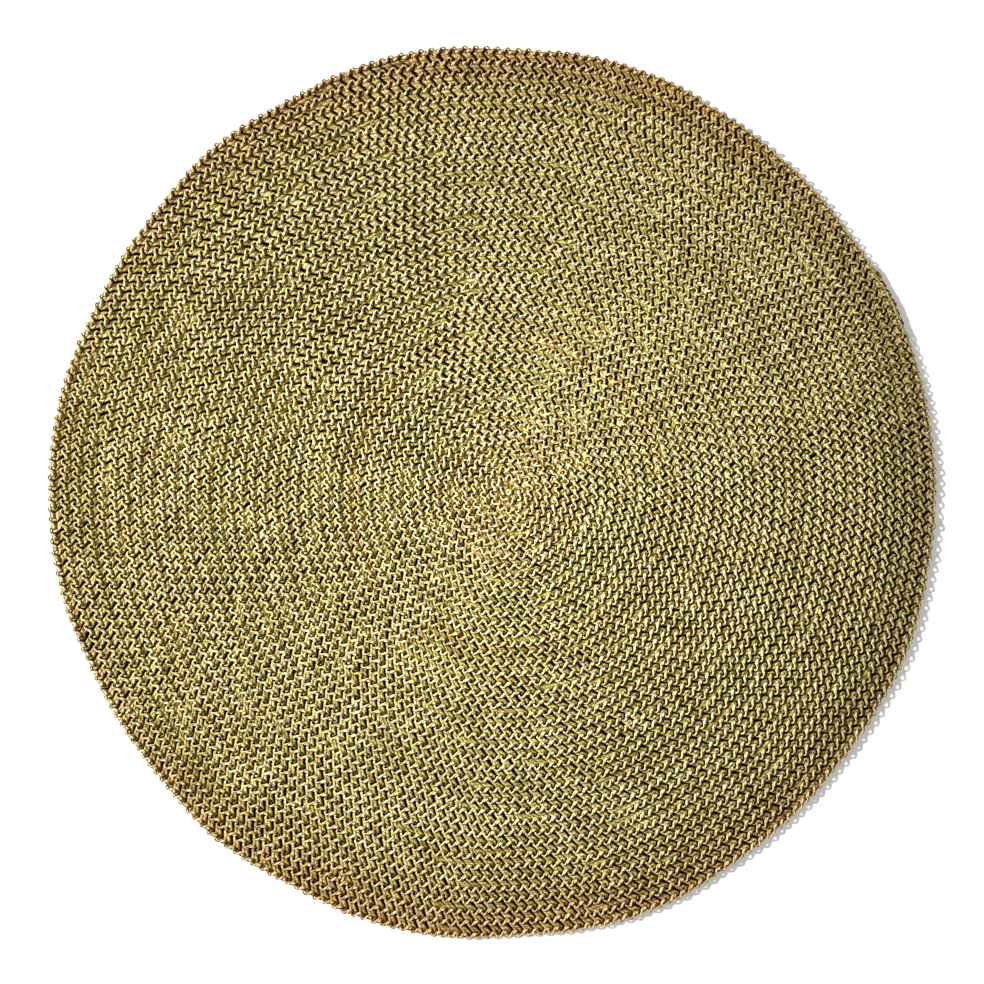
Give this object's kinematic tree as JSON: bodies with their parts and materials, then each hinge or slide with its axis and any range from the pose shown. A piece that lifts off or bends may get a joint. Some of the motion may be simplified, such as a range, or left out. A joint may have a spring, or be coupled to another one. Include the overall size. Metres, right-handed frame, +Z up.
{
  "type": "round crocheted grass rug",
  "caption": "Flat round floor rug, crocheted in one spiral from hand-twisted grass cord, with a gently wavy looped edge.",
  "frame": {"origin": "on the flat underside, below the middle of the rug's box", "axes": "+Z up out of the right side of the crochet, +X and +Y in the plane of the rug; the last round runs out near bearing 30 degrees from +X"},
  "size_m": [1.2008, 1.2078, 0.012],
  "materials": {
    "grass_cord": "hand-twisted cord of dried grass, matt with a faint straw sheen, olive green to straw with rust-brown strands near the edge"
  },
  "bodies": {
    "root": {"rug": "grass_cord"}
  },
  "joints": []
}
